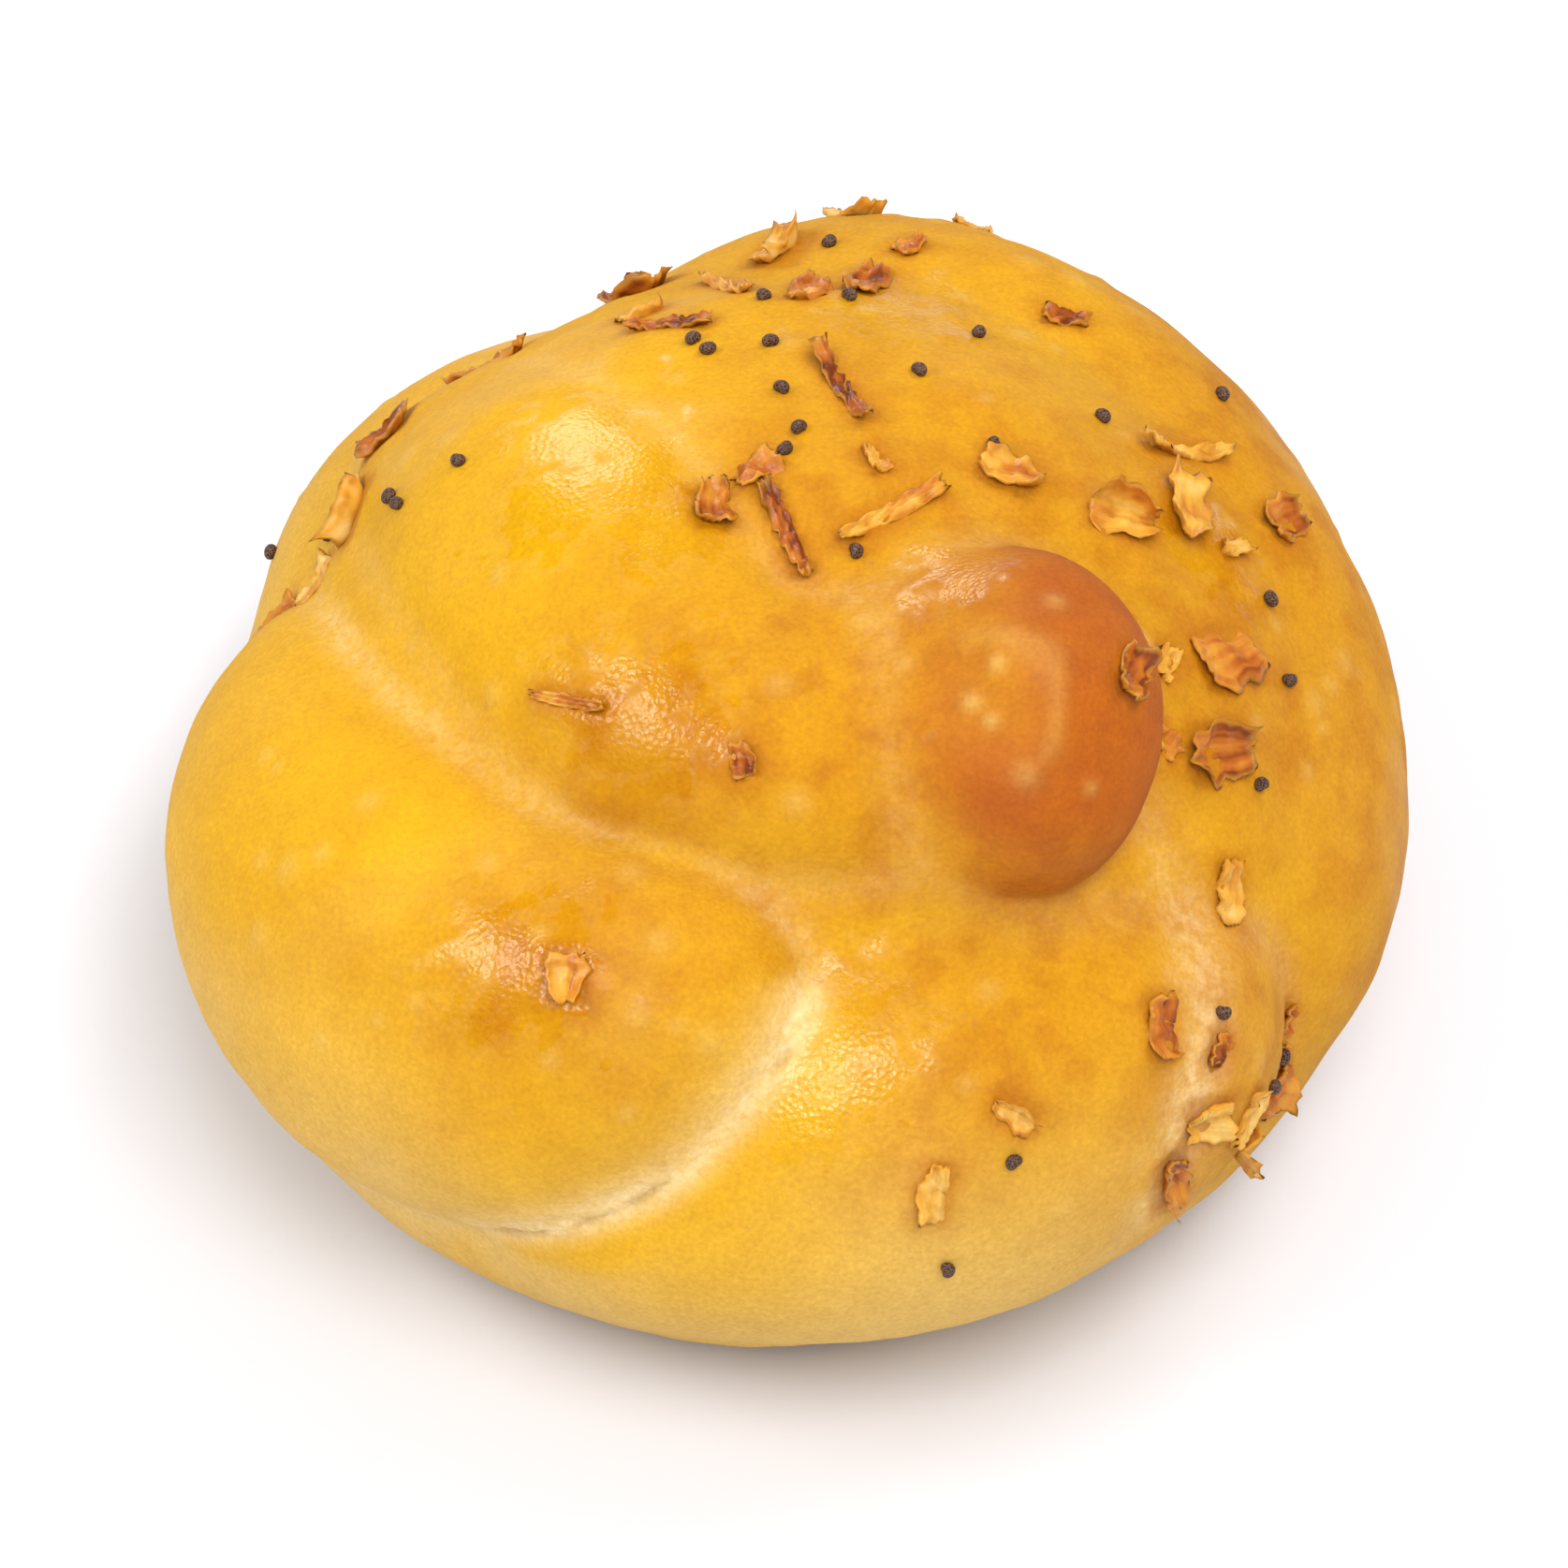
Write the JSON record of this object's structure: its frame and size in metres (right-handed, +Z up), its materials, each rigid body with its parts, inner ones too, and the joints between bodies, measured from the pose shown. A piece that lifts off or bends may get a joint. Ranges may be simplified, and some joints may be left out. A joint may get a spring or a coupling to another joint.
{
  "type": "onion roll",
  "caption": "Round knotted egg-bread roll with a flat base, overlapping lobes and a knob on top, strewn with toasted onion flakes and poppy seeds.",
  "frame": {"origin": "On the flat base that the roll rests on, under the middle of the knot.", "axes": "+Z up. -Y is the front, towards which the knob of the knot leans; +X is the right as seen from the front."},
  "size_m": [0.0842, 0.0877, 0.0518],
  "materials": {
    "crust": "satin"
  },
  "bodies": {
    "root": {"roll": "crust"}
  },
  "joints": []
}
